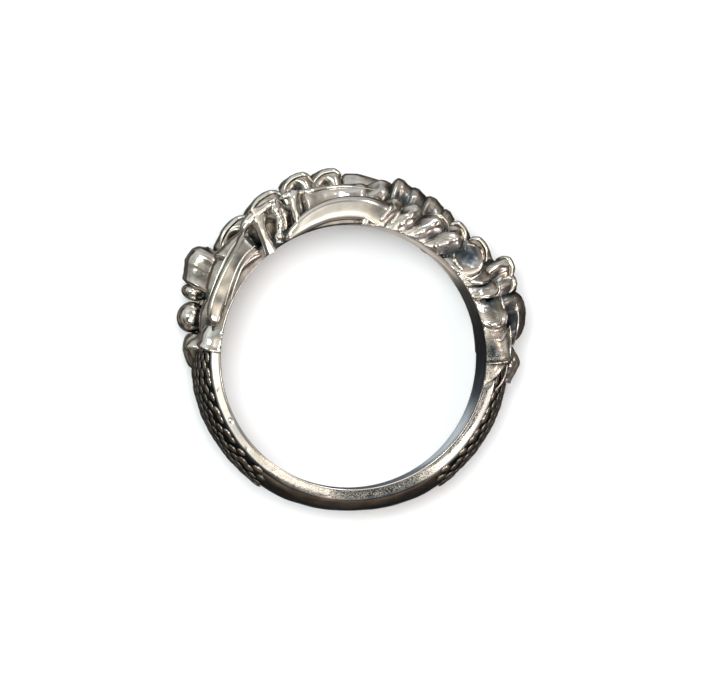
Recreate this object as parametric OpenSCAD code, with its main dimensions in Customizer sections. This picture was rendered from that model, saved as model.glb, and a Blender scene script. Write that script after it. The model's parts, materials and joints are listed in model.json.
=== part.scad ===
// Claw ring: one silver casting in which two scaled feet, one on each shoulder, clasp across the head.
// The ring lies on its side. The finger hole runs along Z, the head points to +Y and the back to -Y.
// The origin is on the axis of the finger hole, in the plane that the ring lies on.

/* [Finger hole] */
// Inside diameter of the ring
hole_d = 19; // [16:0.5:22]

/* [Band] */
// Wall at the back, at the middle of the band
back_wall = 1.6; // [1.2:0.1:2]
// Wall at the shoulders and under the feet, at the middle of the band
bed_wall = 1.9; // [1.5:0.1:2.1]
// Wall at both edges of the band, where its dome ends
edge_wall = 0.7; // [0.5:0.05:0.9]
// Depth of the band along the finger, at the back
back_depth = 4.4; // [3.5:0.1:6]
// Height of the pointed scales on the back half
scale_relief = 0.2; // [0.1:0.02:0.3]

/* [Feet] */
// Depth of the whole ring along the finger, at the head
head_depth = 10.2; // [9.6:0.1:11]
// How deep the hollows between knuckles and between scales are
relief = 0.5; // [0.3:0.05:0.6]
// How high the toes stand, as a share of the heights in the tables
toe_height = 1; // [0.9:0.02:1.1]

/* [Hidden] */
silver = [0.66, 0.64, 0.61];

hole_r = hole_d / 2;
half_depth = head_depth / 2;
// Half of the depth of the bed under the feet. The toes stand out past it on both sides.
bed_half = half_depth - 0.35;
// How far the casting reaches into the finger hole before the hole is bored
root = 0.35;
// How far the oval section of a toe does, so that the hole cuts it off at nearly its full width
toe_root = 1.5;

// The skin of the casting is found section by section. In each, rays go out from a core inside the band,
// and each ray ends where it leaves the last toe, claw or band that it meets.
// Degrees between two sections over the head, and round the back
head_step = 1.7;
back_step = 4.5;
// The head's sections reach this far past each shoulder
head_past = 16;
// Rays in the fan over each edge, and rays across the band between the two fans
fan_rays = 8;
top_rays = 11;
// The core's half width as a share of the band's, and the height of its edges over the finger hole
core_share = 0.66;
core_h = 0.5;

// Each foot is described from its own shoulder, where the angle is 0, over the head towards the other
// shoulder, at 180. Heights are over the finger hole. Z is 0 at mid depth and positive at its own side.

// Angle, share of the way from the back's depth to the bed's, share of the way from wall to wall
BAND_TAPER = [
    [-90, 0, 0],
    [-60, 0.12, 0.5],
    [-40, 0.36, 0.6],
    [-20, 0.68, 0.7],
    [0, 0.9, 1],
    [20, 1, 1],
    [90, 1, 0.8]
];
// Angle, how much of their full height the scales of the back half have
SCALE_FADE = [[-64, 0], [-58, 1], [-20, 1], [-14, 0]];

// Columns of the tables of scales
KIND = 0;
FROM = 1;
TO = 2;
HEIGHT = 3;
SLANT = 4;
TONGUE = 5;
HOLLOW = 6;

// Kind, from and to angle, height, slant and tongue in degrees, depth of the hollow as a share of relief
OUTER_SCALES = [
    ["plate", -15, -1, 1.6, 0, 4, 0.9],
    ["plate", -1, 12, 2.1, 0, 2, 1],
    ["plate", 11, 25.5, 2.15, 0, 5, 1.1],
    ["plate", 24.5, 35, 2.5, 5, 4, 1.2],
    ["fold", 35, 44.5, 2.05, 6.5, 2, 1.2],
    ["fold", 44.5, 54, 2.25, 7.5, 2, 1.2],
    ["fold", 54, 62.5, 2.4, 9, 2, 1.2],
    ["fold", 62.5, 69.5, 2.35, 10, 2, 1.1],
    ["fold", 69.5, 77, 2.3, 12, 1, 1]
];
// Angle, Z of the middle line, half width
OUTER_LINE = [[-15, 3.7, 1.1], [0, 3.9, 1.35], [80, 3.85, 1.4]];
// Angle, height of the underside and of the back, Z of the middle line, half width
OUTER_CLAW = [
    [75, -0.3, 1.8, 4.15, 1.05],
    [79, 0, 2, 4.15, 1.05],
    [86, 0.2, 2.05, 4.2, 1],
    [92, 0.25, 2.05, 4.25, 0.9],
    [98.5, 0.2, 1.95, 4.3, 0.85],
    [105, 0.1, 1.65, 4.35, 0.75],
    [111, 0, 1.2, 4.4, 0.6],
    [116, 0, 0.65, 4.4, 0.4],
    [119, 0.05, 0.25, 4.4, 0.2]
];

// The middle toe of the near foot is scaled, and that of the far foot is boned. They end alike.
SCALED_TOE = [
    ["spike", -5, 2.5, 2.55, 0, 0, 1.4],
    ["leaf", 2.5, 16, 3.25, 0, 0, 2],
    ["bead", 16, 20, 3.2, 0, 0, 0.8],
    ["plate", 20, 31, 3.2, 0, 2, 1],
    ["plate", 31, 43, 3.8, 4, 4, 1.8],
    ["plate", 43, 52.5, 3, 4, 3, 1],
    ["plate", 52, 60, 3.25, 4, 3, 1],
    ["plate", 59.5, 67, 3.45, 4, 2, 1],
    ["plate", 66.5, 71.5, 3.6, 3, 2, 1.2],
    ["bead", 71, 77.5, 3.7, 0, 0, 1.2],
    ["fold", 77.5, 84, 3.5, 0, 0, 1.4],
    ["shaft", 84, 107, 3.15, 0, 0, 1]
];
BONED_TOE = [
    ["leaf", -5, 9, 2.3, 0, 0, 1.4],
    ["bead", 9.5, 18.5, 3.1, 0, 0, 2],
    ["bead", 18.5, 24.5, 3.35, 0, 0, 1.4],
    ["bone", 24.5, 37.5, 4.3, 0, 0, 1.6],
    ["bell", 37.5, 50, 4.1, 0, 0, 1.3],
    ["bell", 50, 64.5, 4.1, 0, 0, 1],
    ["bell", 64.5, 77, 4.2, 0, 0, 1],
    ["bell", 77, 87, 4.2, 0, 0, 0.9],
    ["shaft", 87, 107, 3.75, 0, 0, 1]
];
KNUCKLES = [
    ["knuckle", 107, 113, 3.1, 0, 0, 1.6],
    ["knuckle", 113, 119.5, 3.1, 0, 0, 1.6],
    ["knuckle", 119.5, 129, 3.25, 0, 0, 1.8]
];
MIDDLE_LINE = [
    [-5, 1.2, 1],
    [20, 1.4, 1.45],
    [90, 1.5, 1.35],
    [105, 2.2, 1.3],
    [112, 2.9, 1.4],
    [118, 3.5, 1.5],
    [126, 3.7, 1.4]
];
MIDDLE_CLAW = [
    [126, -0.1, 2.85, 3.8, 1.2],
    [131, 0, 2.6, 3.95, 1.15],
    [137, 0.25, 2.2, 4.1, 1.05],
    [143.5, 0.3, 1.95, 4.15, 1],
    [151, 0.25, 1.8, 4.2, 0.95],
    [158, 0.2, 1.65, 4.25, 0.85],
    [163, 0.2, 1.4, 4.3, 0.7],
    [166, 0.25, 1.1, 4.3, 0.5],
    [168, 0.3, 0.7, 4.3, 0.25]
];

// Past the middle toe lie a short inner toe, a knob and, at the far edge of the shoulder, the heel
INNER_SCALES = [
    ["leaf", 7, 24, 1.75, 0, 0, 1.2],
    ["bell", 24, 40, 2.5, 0, 0, 1.6],
    ["plate", 38, 52, 2.8, 0, 3, 1.4],
    ["plate", 51, 64, 2.7, 0, 3, 1.4],
    ["plate", 63, 77, 2.5, 0, 3, 1.2]
];
INNER_LINE = [[7, -1.3, 0.9], [30, -1.25, 1.1], [60, -1.1, 1.1], [77, -1, 0.9]];
KNOB_SCALES = [["spike", -3, 9, 2.45, 0, 0, 2.2]];
KNOB_LINE = [[-3, -1, 0.9], [9, -1, 1]];
HEEL_SCALES = [
    ["leaf", -14, -4, 1.45, 0, 0, 1],
    ["plate", -4, 4.5, 1.6, 0, 3, 1.2],
    ["plate", 4, 14, 1.5, 0, 3, 1]
];
HEEL_LINE = [[-14, -3.5, 0.8], [-2, -3.85, 1.3], [14, -3.85, 1.3]];

// Share of the full height along each kind of scale, from its tip at 0 to its other end at 1
function profile(kind) =
    kind == "plate" ? [[0.02, 0], [0.14, 1], [0.5, 0.85], [0.92, 0.35]] :
    kind == "fold" ? [[0, 0], [0.25, 0.75], [0.5, 1], [0.75, 0.8]] :
    kind == "leaf" ? [[0, 0], [0.3, 0.6], [0.65, 1], [0.96, 0.8]] :
    kind == "spike" ? [[0, 0.2], [0.55, 1], [0.85, 0.4]] :
    kind == "bead" ? [[0, 0], [0.15, 0.7], [0.35, 0.96], [0.65, 0.96], [0.85, 0.7], [0.99, 0.05]] :
    kind == "bone" ? [[0.02, 0.3], [0.2, 0.65], [0.5, 1], [0.7, 0.9], [0.97, 0.2]] :
    kind == "bell" ? [[0.02, 0.1], [0.3, 0.45], [0.55, 0.85], [0.72, 1], [0.88, 0.8]] :
    kind == "knuckle" ? [[0.05, 0], [0.35, 0.5], [0.6, 1], [0.85, 0.9]] :
    [[0.02, 0.2], [0.12, 0.75], [0.5, 0.7], [0.9, 0.8]];

// A point from its angle, its distance from the axis and its height
function polar(angle, r, z) = [r * cos(angle), r * sin(angle), z];
// A column of a table of angles, for lookup()
function pairs(table, column) = [for (row = table) [row[0], row[column]]];

// Columns of a strand, which is a toe or a claw: the first and last angle, and then pairs for lookup()
STARTS = 0;
ENDS = 1;
UNDER = 2;
BACK = 3;
MIDDLE = 4;
HALF = 5;
LEAN = 6;
REACH = 7;

// A toe follows its line. In the hollows between its scales it is lower and narrower.
function toe(scales, line) =
    let (steps = [for (scale = scales, step = profile(scale[KIND]))
        let (dip = (1 - step[1]) * relief * scale[HOLLOW])
        [scale[FROM] + (scale[TO] - scale[FROM]) * step[0], toe_height * scale[HEIGHT] - dip, dip,
            scale[SLANT], scale[TONGUE]]])
    [steps[0][0], steps[len(steps) - 1][0], [[0, -toe_root]], pairs(steps, 1), pairs(line, 1),
        [for (s = steps) [s[0], lookup(s[0], pairs(line, 2)) - 0.6 * s[2]]],
        pairs(steps, 3), pairs(steps, 4)];

// A claw is smooth, and tapers in height and width to its tip
function claw(rows) =
    [rows[0][0], rows[len(rows) - 1][0], pairs(rows, 1),
        [for (row = rows) [row[0], toe_height * row[2]]], pairs(rows, 3), pairs(rows, 4),
        [[0, 0]], [[0, 0]]];

function foot(middle_scales) = [
    toe(OUTER_SCALES, OUTER_LINE),
    claw(OUTER_CLAW),
    toe(concat(middle_scales, KNUCKLES), MIDDLE_LINE),
    claw(MIDDLE_CLAW),
    toe(INNER_SCALES, INNER_LINE),
    toe(KNOB_SCALES, KNOB_LINE),
    toe(HEEL_SCALES, HEEL_LINE)
];
NEAR_FOOT = foot(SCALED_TOE);
FAR_FOOT = foot(BONED_TOE);

// How far a ray goes before it leaves an ellipse round a middle, or 0 if it misses. Points are [height, z].
function leave_ellipse(from, way, middle, axes) =
    let (p = [(from[0] - middle[0]) / axes[0], (from[1] - middle[1]) / axes[1]],
        d = [way[0] / axes[0], way[1] / axes[1]],
        dd = d * d,
        pd = p * d,
        root_of = pd * pd - dd * (p * p - 1))
    root_of < 0 ? 0 : (sqrt(root_of) - pd) / dd;

// How far a ray goes before it leaves a strand. A slanted scale leans back on its outer side, and the
// middle of each face of a tongue reaches back.
function leave_strand(strand, angle, from, way) =
    let (out = way[1] == 0 ? 1 : way[0] == 0 ? from[0] / core_h - 1 : way[0],
        middle_z = lookup(angle, strand[MIDDLE]),
        across = way[0] == 1 ? min(1, abs(from[1] - middle_z) / lookup(angle, strand[HALF])) : 1 - way[0],
        at = angle + lookup(angle, strand[LEAN]) * out / 2
            + lookup(angle, strand[REACH]) * (1 - across * across))
    at < strand[STARTS] || at > strand[ENDS] ? 0 :
    let (low = lookup(at, strand[UNDER]),
        high = lookup(at, strand[BACK]))
    leave_ellipse(from, way, [(low + high) / 2, middle_z], [(high - low) / 2, lookup(at, strand[HALF])]);

// The band is a dome, thin at its edges, narrow at the back and as deep as the bed under the feet
dome_core = 2;
function band_half(angle) =
    back_depth / 2 + (bed_half - back_depth / 2) * lookup(asin(sin(angle)), pairs(BAND_TAPER, 1));
function band_wall(angle) =
    back_wall + (bed_wall - back_wall) * lookup(asin(sin(angle)), pairs(BAND_TAPER, 2));
function leave_band(angle, from, way) =
    let (half = band_half(angle),
        wall = band_wall(angle),
        edge_share = (dome_core + edge_wall) / (dome_core + wall),
        dome_half = half / sqrt(1 - edge_share * edge_share))
    min(leave_ellipse(from, way, [-dome_core, 0], [dome_core + wall, dome_half]),
        to_plane(from, way, half));

// How far a ray goes to the plane that ends the band or the ring, at its own side
function to_plane(from, way, z) = way[1] == 0 ? 1e3 : (z - sign(way[1]) * from[1]) / abs(way[1]);

// The rays from the near edge over the top to the far edge, each as [height, share of the core, way]
RAYS = concat(
    [for (h = [-root, 0.12, 0.32]) [h, 1, [0, 1]]],
    [for (i = [0:fan_rays - 1]) let (turn = 90 * (i + 0.5) / fan_rays) [core_h, 1, [sin(turn), cos(turn)]]],
    [for (i = [0:top_rays - 1]) [core_h, 1 - 2 * i / (top_rays - 1), [1, 0]]],
    [for (i = [fan_rays - 1:-1:0]) let (turn = 90 * (i + 0.5) / fan_rays)
        [core_h, -1, [sin(turn), -cos(turn)]]],
    [for (h = [0.32, 0.12, -root]) [h, -1, [0, -1]]]
);

// One section of the casting, as a list of points
function section(angle, number) =
    let (near = [for (s = NEAR_FOOT) if (abs(angle - (s[STARTS] + s[ENDS]) / 2) < reach_of(s)) s],
        far = [for (s = FAR_FOOT) if (abs(180 - angle - (s[STARTS] + s[ENDS]) / 2) < reach_of(s)) s],
        half = band_half(angle),
        fade = lookup(asin(sin(angle)), pairs(SCALE_FADE, 1)))
    [for (i = [0:len(RAYS) - 1])
        let (from = [RAYS[i][0], RAYS[i][1] * core_share * half],
            way = RAYS[i][2],
            back_from = [from[0], -from[1]],
            back_way = [way[0], -way[1]],
            far_out = max([
                leave_band(angle, from, way),
                for (s = near) leave_strand(s, angle, from, way),
                for (s = far) leave_strand(s, 180 - angle, back_from, back_way)]),
            raised = way[0] > 0.5 && (i + number) % 2 == 0 ? scale_relief * fade : 0,
            t = min(far_out, to_plane(from, way, half_depth)) + raised)
        polar(angle, hole_r + from[0] + t * way[0], from[1] + t * way[1])];
function reach_of(strand) = (strand[ENDS] - strand[STARTS]) / 2 + 15;

// The sections' angles, close together over the head and wider apart round the back
ANGLES = let (head_arc = 180 + 2 * head_past,
        back_arc = 360 - head_arc,
        head_count = 2 * round(head_arc / head_step / 2),
        back_count = 2 * round(back_arc / back_step / 2))
    concat([for (i = [0:head_count - 1]) -head_past + head_arc * i / head_count],
        [for (i = [0:back_count - 1]) 180 + head_past + back_arc * i / back_count]);

// The whole casting as one closed skin. Round the back the diagonals join the low points, so that each
// raised point becomes a small pyramid. Over the head each diagonal is the shorter one.
module casting() {
    sides = len(RAYS);
    count = len(ANGLES);
    points = [for (i = [0:count - 1]) each section(ANGLES[i], i)];
    faces = [for (i = [0:count - 1], j = [0:sides - 1])
        let (next = (i + 1) % count,
            k = (j + 1) % sides,
            a = i * sides + j, b = i * sides + k, c = next * sides + k, d = next * sides + j,
            back = sin(ANGLES[i]) < -sin(head_past) + 0.01,
            low_bd = back ? (i + j) % 2 == 0 : norm(points[b] - points[d]) < norm(points[a] - points[c]))
        each (low_bd ? [[a, d, b], [b, d, c]] : [[a, c, b], [a, d, c]])];
    polyhedron(points = points, faces = faces, convexity = 10);
}

// The casting, with the finger hole bored through it
module claw_ring() {
    color(silver) translate([0, 0, half_depth]) difference() {
        casting();
        cylinder(r = hole_r, h = 2 * head_depth, center = true, $fn = 180);
    }
}

claw_ring();
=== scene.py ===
# %% [markdown]
# # A claw ring in cast silver
# The real ring is one silver casting. Two scaled feet, one on each shoulder, reach over the head of the
# ring and pass each other, so that each grips the other with its long claws. After casting it was
# blackened all over and then polished, so the hollows stayed dark and whatever stands out is bright.
# This lesson makes the ring as a set of closed skins that run into each other, as a wax carver would
# build it up: a band, then toes, scales, knuckles and claws laid on it, and last the finish.

# %% The frame and its driving sizes
import json
import math
from collections import namedtuple
import bpy
import numpy as np
from mathutils import Matrix, Vector, noise
from mathutils.bvhtree import BVHTree


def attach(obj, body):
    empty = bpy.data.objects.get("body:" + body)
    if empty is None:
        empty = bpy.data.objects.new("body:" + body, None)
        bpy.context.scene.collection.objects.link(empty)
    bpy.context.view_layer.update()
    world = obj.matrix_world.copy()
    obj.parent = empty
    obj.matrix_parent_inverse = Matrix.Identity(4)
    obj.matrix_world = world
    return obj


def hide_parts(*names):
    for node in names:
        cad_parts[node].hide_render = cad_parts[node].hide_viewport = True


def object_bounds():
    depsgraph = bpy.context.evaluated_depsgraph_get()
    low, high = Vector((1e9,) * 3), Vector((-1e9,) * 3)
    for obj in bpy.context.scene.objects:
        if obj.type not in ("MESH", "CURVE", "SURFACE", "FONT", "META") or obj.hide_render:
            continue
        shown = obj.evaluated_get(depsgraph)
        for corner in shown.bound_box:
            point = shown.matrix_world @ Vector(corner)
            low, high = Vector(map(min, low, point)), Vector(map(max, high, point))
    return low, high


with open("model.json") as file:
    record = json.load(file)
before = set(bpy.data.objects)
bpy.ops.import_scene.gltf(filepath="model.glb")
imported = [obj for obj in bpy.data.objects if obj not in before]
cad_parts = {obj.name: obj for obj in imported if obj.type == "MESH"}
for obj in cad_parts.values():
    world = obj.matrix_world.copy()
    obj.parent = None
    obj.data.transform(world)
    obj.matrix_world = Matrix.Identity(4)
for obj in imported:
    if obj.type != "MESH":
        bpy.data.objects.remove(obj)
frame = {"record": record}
cad_low, cad_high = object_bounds()
MM = 0.001
hole = next(m for m in frame["record"]["mounts"] if m["name"] == "finger_hole")
hole_r = hole["dims"]["r_mm"]
half_depth = (cad_high.z - cad_low.z) / MM / 2
print(f"finger hole {2 * hole_r:.1f} mm across, ring {2 * half_depth:.1f} mm deep")

# %% [markdown]
# ## Where things are on a ring
# A carver turns the ring on a stick and speaks of how far round a thing is, how high it stands over the
# finger hole and how far it lies from the middle of the band. The same three numbers describe every
# piece here: an angle in degrees, a height and a distance across, both in millimetres. The two feet are
# alike but turned half round the line from the back to the head, so one function places both.

# %% Places on the ring
def place(angle, height, across, foot="near"):
    """Points in millimetres. A foot's angle is 0 at its own shoulder and 180 at the other one."""
    if foot == "far":
        angle, across = 180 - angle, -across
    turn = np.radians(angle)
    r = hole_r + height
    return np.stack(np.broadcast_arrays(r * np.cos(turn), r * np.sin(turn), half_depth + across), axis=-1)


print("middle of the head at", place(90.0, 0.0, 0.0).round(2), "mm")

# %% [markdown]
# ## Smooth curves through a few sizes
# A form is described by a short table, such as a toe's width at three angles. Between two rows the size
# has to change smoothly and never swing past either of them, or a thin tip would turn inside out. A
# cubic curve whose slope is zero at each high and low row does that.

# %% A curve through a table
def table(fields, rows):
    """Rows of plain values as rows with named fields."""
    Row = namedtuple("Row", fields)
    return [Row(*row) for row in rows]


def column(rows, name):
    """The (angle, value) pairs of one column of a table."""
    return [(row.angle, getattr(row, name)) for row in rows]


def curve(pairs, x):
    """The smooth curve through a list of (x, y) pairs, read at x."""
    xs, ys = np.array(pairs, float).T
    if len(xs) == 1:
        return ys[0] + 0 * x
    x = np.clip(x, xs[0], xs[-1])
    gap = np.diff(xs)
    rise = np.diff(ys) / gap
    slope = np.zeros(len(ys))
    same_way = rise[1:] * rise[:-1] > 0
    slope[1:-1][same_way] = (2 * rise[1:] * rise[:-1])[same_way] / (rise[1:] + rise[:-1])[same_way]
    i = np.clip(np.searchsorted(xs, x, side="right") - 1, 0, len(gap) - 1)
    t = (x - xs[i]) / gap[i]
    return ((1 + 2 * t) * (1 - t) ** 2 * ys[i] + t * (1 - t) ** 2 * gap[i] * slope[i]
            + t ** 2 * (3 - 2 * t) * ys[i + 1] - t ** 2 * (1 - t) * gap[i] * slope[i + 1])


def grows(value, start, width):
    """0 up to the start, 1 from start plus width on, and a straight rise between. A negative width falls."""
    return np.clip((value - start) / width, 0, 1)


print("halfway up a step of 1 mm:", float(curve([(0, 0), (1, 1)], 0.5)))

# %% [markdown]
# ## Closed skins
# Every piece is a skin over a row of sections, like the hoops of a barrel. A piece that has two ends is
# closed there by a fan of triangles, and one that runs round the finger closes on itself. Its faces have
# to point outwards, so the skin's volume is measured, and a skin whose volume is negative is turned.

# %% Making a skin
def new_object(name, data):
    made = bpy.data.objects.new(name, data)
    bpy.context.collection.objects.link(made)
    return made


def skin(name, points, ring=False):
    """An object from points[section, turn], in millimetres. A ring's last section joins its first."""
    rows, turns, _ = points.shape
    i, j = np.meshgrid(np.arange(rows if ring else rows - 1), np.arange(turns), indexing="ij")
    next_i, next_j = (i + 1) % rows, (j + 1) % turns
    corners = [i * turns + j, i * turns + next_j, next_i * turns + next_j, next_i * turns + j]
    faces = np.stack(corners, axis=-1).reshape(-1, 4).tolist()
    places = points.reshape(-1, 3)
    if not ring:
        first, last = rows * turns, rows * turns + 1
        end = (rows - 1) * turns
        places = np.concatenate([places, points[[0, -1]].mean(axis=1)])
        faces += [[first, (k + 1) % turns, k] for k in range(turns)]
        faces += [[last, end + k, end + (k + 1) % turns] for k in range(turns)]
    mesh = bpy.data.meshes.new(name)
    mesh.from_pydata((places * MM).tolist(), [], faces)
    tri = np.array([f[:3] for f in faces])
    a, b, c = (places[tri[:, k]] for k in range(3))
    if (np.cross(a, b) * c).sum() < 0:
        mesh.flip_normals()
    mesh.shade_smooth()
    return new_object(name, mesh)


print("skins take points in millimetres and keep them in metres")

# %% [markdown]
# ## Colours and nodes
# Colours are picked as hex values, as a painter's chart gives them, and Blender's shaders want them linear.
# Three small functions serve every material and every node tree below: one turns a colour to linear, one
# adds a node with its settings and links, and one gives a colour ramp its stops.

# %% Colours and nodes
def linear(hex_colour):
    """Linear colour, with alpha, from an sRGB hex value."""
    parts = [int(hex_colour[i:i + 2], 16) / 255 for i in (1, 3, 5)]
    return tuple(p / 12.92 if p <= 0.04045 else ((p + 0.055) / 1.055) ** 2.4 for p in parts) + (1.0,)


def add_node(tree, kind, inputs=None, **settings):
    """A node with its settings. An input is a value, or an output socket to link from."""
    made = tree.nodes.new(kind)
    for name, value in settings.items():
        setattr(made, name, value)
    for name, value in (inputs or {}).items():
        if isinstance(value, bpy.types.NodeSocket):
            tree.links.new(value, made.inputs[name])
        else:
            made.inputs[name].default_value = value
    return made


def fill_ramp(ramp, stops):
    """Sets a colour ramp's stops from (position, hex colour) pairs."""
    ramp.elements[0].color = linear(stops[0][1])
    ramp.elements[1].color = linear(stops[-1][1])
    for position, colour in stops[1:-1]:
        ramp.elements.new(position).color = linear(colour)


print("mid grey #808080 is", round(linear("#808080")[0], 3), "in linear light")

# %% [markdown]
# ## Oxidised sterling silver
# Sterling silver is dipped in liver of sulphur, which turns it black, and then polished. The buff takes the
# black off whatever stands out, so crests are mirror bright and a little warm, slopes are tan and grey, and
# hollows stay blue-black and dull. Each vertex carries how much black is left there as an attribute, which
# is worked out from the shapes further down; a few painted highlights, patches of painted shade and a
# painted reflection on the hole's wall are added to the same attribute. A second attribute, pits, says
# where the metal was left as it came out of the mould. Silver is a metal, so its default IOR stays.

# %% Silver's colours
SILVER_TONES = [(0.0, "#F5F1E9"), (0.3, "#CFC7BC"), (0.55, "#8B8883"), (0.78, "#484E51"), (1.0, "#191D21")]
mottle_mm = 0.4               # size of the cloudy patches that the buff leaves
mottle_black = 0.08           # how much blacker or brighter than their surroundings they are
grit_mm = 0.045               # size of the pits of the mould's plaster, drawn as coarse as shows
grit_black = (-0.24, 0.26)    # change of the black between two pits and in a pit
hammer_mm = 0.9               # size of the slow unevenness of the wax
scratch_mm = 0.05             # width of the buff's hairlines, drawn as coarse as shows
bright_rough, black_rough = 0.1, 0.34    # a buffed crest is a mirror, and a black hollow is dull
pitted_rough = 0.12           # roughness that the pits add
bump_mm = 0.012               # depth of the relief that the bump stands for
bump_strength = 0.7
hammer_rise, scratch_rise, pit_rise = 1.6, 0.18, 0.6    # shares of that depth
print(len(SILVER_TONES), "tones of silver, from buffed to black")

# %% Silver's material
def oxidised_silver():
    material = bpy.data.materials.new("oxidised_sterling_silver")
    material.use_nodes = True
    tree = material.node_tree
    shader = tree.nodes["Principled BSDF"]
    shader.inputs["Metallic"].default_value = 1.0
    where = add_node(tree, "ShaderNodeTexCoord").outputs["Object"]
    # The first attribute holds the oxide's black, with painted highlights, painted shade and a painted
    # reflection added to it
    patina, pits = (add_node(tree, "ShaderNodeAttribute", attribute_name=name).outputs["Fac"]
                    for name in ("patina", "pits"))
    # One period of a noise holds a lump and a gap, so its scale is half of one over the lump's size
    clouds, grit, hammered, hairlines = (
        add_node(tree, "ShaderNodeTexNoise", {
            "Vector": where, "Scale": 0.5 / (size * MM), "Detail": detail}).outputs["Fac"]
        for size, detail in ((mottle_mm, 2.0), (grit_mm, 2.0), (hammer_mm, 1.0), (scratch_mm, 2.0)))
    mottle = add_node(tree, "ShaderNodeMapRange", {
        "Value": clouds, "From Min": 0.3, "From Max": 0.7,
        "To Min": -mottle_black, "To Max": mottle_black}).outputs["Result"]
    specks = add_node(tree, "ShaderNodeMapRange", {
        "Value": grit, "From Min": 0.35, "From Max": 0.65,
        "To Min": grit_black[0], "To Max": grit_black[1]}).outputs["Result"]
    pitted = add_node(tree, "ShaderNodeMath", {0: pits, 1: specks, 2: patina}, operation="MULTIPLY_ADD")
    black = add_node(tree, "ShaderNodeMath", {0: pitted.outputs["Value"], 1: mottle}).outputs["Value"]
    tone = add_node(tree, "ShaderNodeValToRGB", {"Fac": black})
    fill_ramp(tone.color_ramp, SILVER_TONES)
    polish = add_node(tree, "ShaderNodeMapRange", {
        "Value": black, "To Min": bright_rough, "To Max": black_rough}).outputs["Result"]
    rough = add_node(tree, "ShaderNodeMath", {0: pits, 1: pitted_rough, 2: polish}, operation="MULTIPLY_ADD")
    pocks = add_node(tree, "ShaderNodeMath", {0: pits, 1: grit}, operation="MULTIPLY").outputs["Value"]
    relief = 0.0
    for value, rise in ((hammered, hammer_rise), (hairlines, scratch_rise), (pocks, pit_rise)):
        relief = add_node(tree, "ShaderNodeMath", {
            0: value, 1: rise, 2: relief}, operation="MULTIPLY_ADD").outputs["Value"]
    bump = add_node(tree, "ShaderNodeBump", {
        "Height": relief, "Strength": bump_strength, "Distance": bump_mm * MM})
    tree.links.new(tone.outputs["Color"], shader.inputs["Base Color"])
    tree.links.new(rough.outputs["Value"], shader.inputs["Roughness"])
    tree.links.new(bump.outputs["Normal"], shader.inputs["Normal"])
    return material


silver = oxidised_silver()
print("material:", silver.name)

# %% [markdown]
# ## The band
# The band was carved as a dome: thick along the middle, thin at both edges, with a narrow flat face that
# shows when the ring lies down. It is narrow at the back and widens into a bed under each foot. One
# section function, swept once round the finger, makes it. A few passes of averaging along the section
# round its corners as sanding and polishing did, and a few nicks mark its near edge.

# %% Band sizes
BAND = table("angle half wall", [
    (-90, 2.2, 1.62), (-75, 2.3, 1.7), (-60, 2.5, 1.79), (-40, 3.1, 1.8),
    (-20, 3.95, 1.86), (-5, 4.4, 1.78), (10, 4.6, 1.2), (90, 4.7, 1.15),
])
band_edge = 0.85    # thickness of the band at both edges
dome_core = 2.0     # how far inside the hole's wall the dome's own middle lies
band_sections = 560
wall_points, edge_points, dome_points = 24, 14, 44    # points of one section
edge_passes = 3     # passes of averaging that round the corners
band_waver = 0.035  # how far the hand-filed dome strays from a true one
SPOT = "angle height size change"    # a round spot, and how much it changes in its middle
NICKS = table(SPOT, [
    (193.8, 0.42, 0.09, 0.05), (207.5, 0.3, 0.1, 0.07), (221, 0.5, 0.08, 0.04), (236, 0.35, 0.1, 0.06),
    (262, 0.6, 0.12, 0.06), (289, 0.45, 0.1, 0.06), (316, 0.2, 0.12, 0.07),
])


def side_angle(angle):
    """The same place on the right-hand half, from -90 at the back to 90 at the head."""
    return np.degrees(np.arcsin(np.sin(np.radians(angle))))


def band_half(angle):
    return curve(column(BAND, "half"), side_angle(angle))


def band_height(angle, across):
    """Height of the dome over the finger hole."""
    wall = curve(column(BAND, "wall"), side_angle(angle))
    edge_share = (dome_core + band_edge) / (dome_core + wall)
    dome_half = band_half(angle) / np.sqrt(1 - edge_share ** 2)
    return (dome_core + wall) * np.sqrt(np.clip(1 - (across / dome_half) ** 2, 0, 1)) - dome_core


print(f"band {2 * band_half(-90.0):.1f} mm deep at the back, {2 * band_half(90.0):.1f} mm at the head")

# %% The band's skin
def band_section(angle):
    """Height and distance across of the points round one section, starting at the hole's near edge."""
    half = band_half(angle)
    low = np.linspace(-half, half, wall_points, endpoint=False)
    side = np.linspace(0, band_edge, edge_points, endpoint=False)
    top = np.linspace(half, -half, dome_points, endpoint=False)
    height = np.concatenate([0 * low, side, band_height(angle, top), band_edge - side])
    across = np.concatenate([low, half + 0 * side, top, -half + 0 * side])
    return np.stack([height, across], axis=-1)


def uneven(points, size, seed):
    """Smooth noise between -1 and 1 at each point, with lumps of the given size in millimetres."""
    flat = points.reshape(-1, 3) / size + seed
    return np.array([noise.noise(p) for p in flat.tolist()]).reshape(points.shape[:-1])


def spot_share(spot, angle, height, radius):
    """How much a round spot reaches each place: 1 in its middle, and little past its size."""
    along = np.radians(angle - spot.angle) * radius
    return np.exp(-(along ** 2 + (height - spot.height) ** 2) / spot.size ** 2)


def make_band():
    angles = np.linspace(0, 360, band_sections, endpoint=False)
    sections = np.stack([band_section(a) for a in angles])
    for _ in range(edge_passes):
        sections = (sections + (np.roll(sections, 1, axis=1) + np.roll(sections, -1, axis=1)) / 2) / 2
    height, across = np.maximum(sections[..., 0], 0), sections[..., 1]
    angles = angles[:, None]
    rough = uneven(place(angles, height, across), size=1.3, seed=2.2)
    height = height + band_waver * grows(height, 0, band_edge) * rough
    for nick in NICKS:
        cut = nick.change * spot_share(nick, angles, height, hole_r + nick.height)
        across = across - np.where(across > 0, cut, 0)
    return skin("band", place(angles, height, across), ring=True)


band = make_band()
print("band:", len(band.data.polygons), "faces")

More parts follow.
